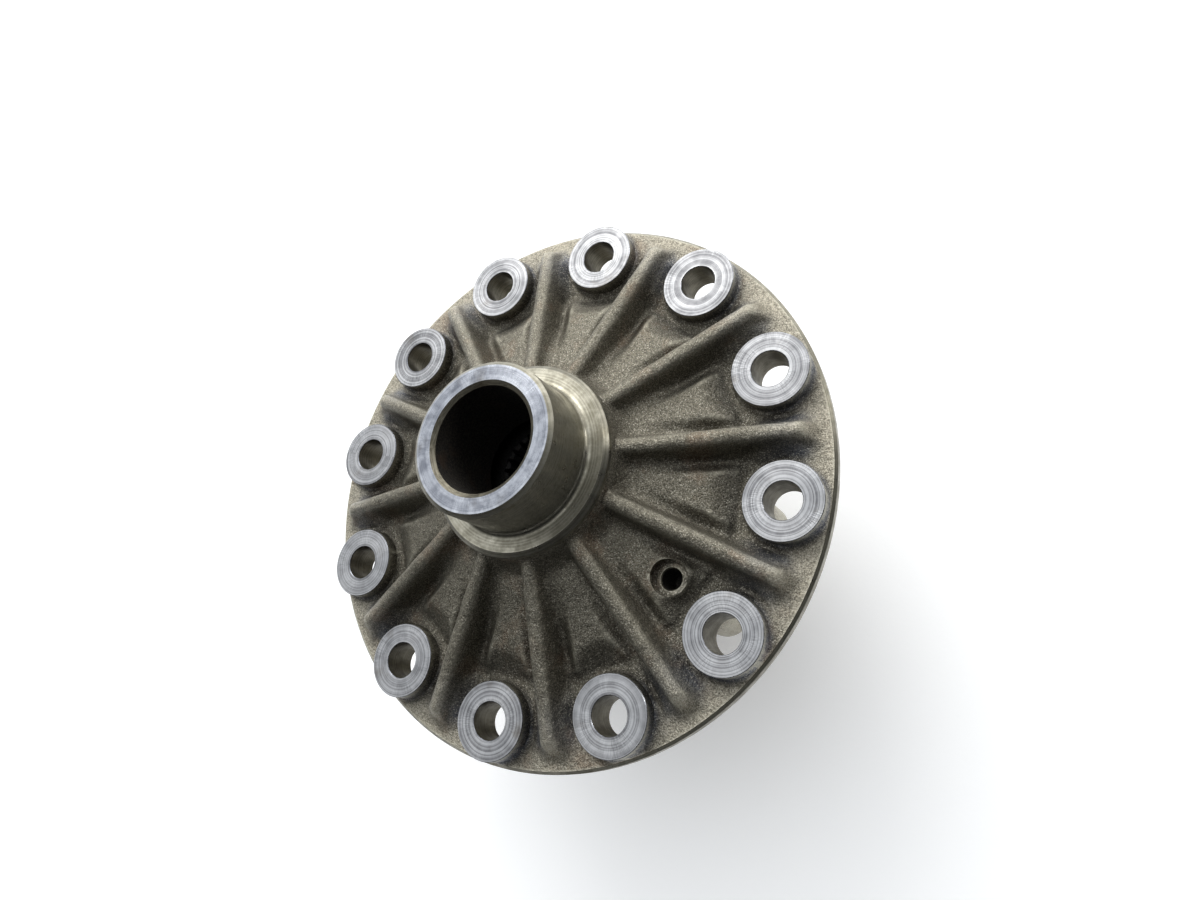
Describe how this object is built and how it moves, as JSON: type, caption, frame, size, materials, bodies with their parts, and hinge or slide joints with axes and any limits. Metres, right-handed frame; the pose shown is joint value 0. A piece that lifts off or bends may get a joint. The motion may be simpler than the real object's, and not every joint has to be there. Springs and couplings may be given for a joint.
{
  "type": "differential gear assembly",
  "caption": "Closed heavy-axle differential: ribbed flange half with bolt bosses, plain half, spider, bevel pinions and side gears inside, bare bearing journals at both ends.",
  "frame": {"origin": "centre of the ring gear mounting face, on the axis of rotation", "axes": "+Z along the axis of rotation, out of the flange half's bearing journal; +X through the centre of one ring gear bolt hole"},
  "size_m": [0.308, 0.308, 0.2406],
  "materials": {
    "case_casting": "shot-blasted as-cast iron with bright turned and spot-faced areas",
    "screw_steel": "black oxide steel, hexagon heads",
    "washer_steel": "hardened plain washer",
    "spider_steel": "ground case-hardened steel",
    "gear_steel": "forged and ground case-hardened steel, oiled",
    "thrust_bronze": "bearing bronze"
  },
  "bodies": {
    "case": {"flange_half": "case_casting", "plain_half": "case_casting", "case_screws": "screw_steel", "case_screw_washers": "washer_steel", "spider": "spider_steel", "flange_side_washer": "thrust_bronze", "plain_side_washer": "thrust_bronze", "pinion_washer_1": "thrust_bronze", "pinion_washer_2": "thrust_bronze", "pinion_washer_3": "thrust_bronze", "pinion_washer_4": "thrust_bronze"},
    "flange_gear": {"flange_side_gear": "gear_steel"},
    "plain_gear": {"plain_side_gear": "gear_steel"},
    "pinion_set_1": {"pinion_1": "gear_steel", "pinion_bush_1": "thrust_bronze"},
    "pinion_set_2": {"pinion_2": "gear_steel", "pinion_bush_2": "thrust_bronze"},
    "pinion_set_3": {"pinion_3": "gear_steel", "pinion_bush_3": "thrust_bronze"},
    "pinion_set_4": {"pinion_4": "gear_steel", "pinion_bush_4": "thrust_bronze"}
  },
  "joints": [
    {"name": "flange_gear_spin", "type": "hinge", "parent": "case", "child": "flange_gear", "pos_m": [0, 0, -0.042], "axis": [0, 0, 1], "continuous": true},
    {"name": "plain_gear_spin", "type": "hinge", "parent": "case", "child": "plain_gear", "pos_m": [0, 0, -0.042], "axis": [0, 0, 1], "continuous": true},
    {"name": "pinion_1_spin", "type": "hinge", "parent": "case", "child": "pinion_set_1", "pos_m": [0, 0, -0.042], "axis": [0.7071, 0.7071, 0], "continuous": true},
    {"name": "pinion_2_spin", "type": "hinge", "parent": "case", "child": "pinion_set_2", "pos_m": [0, 0, -0.042], "axis": [-0.7071, 0.7071, 0], "continuous": true},
    {"name": "pinion_3_spin", "type": "hinge", "parent": "case", "child": "pinion_set_3", "pos_m": [0, 0, -0.042], "axis": [-0.7071, -0.7071, 0], "continuous": true},
    {"name": "pinion_4_spin", "type": "hinge", "parent": "case", "child": "pinion_set_4", "pos_m": [0, 0, -0.042], "axis": [0.7071, -0.7071, 0], "continuous": true}
  ],
  "couplings": [
    {"joint": "plain_gear_spin", "follows": "flange_gear_spin", "ratio": -1},
    {"joint": "pinion_1_spin", "follows": "flange_gear_spin", "ratio": -1.8182},
    {"joint": "pinion_2_spin", "follows": "flange_gear_spin", "ratio": -1.8182},
    {"joint": "pinion_3_spin", "follows": "flange_gear_spin", "ratio": -1.8182},
    {"joint": "pinion_4_spin", "follows": "flange_gear_spin", "ratio": -1.8182}
  ]
}
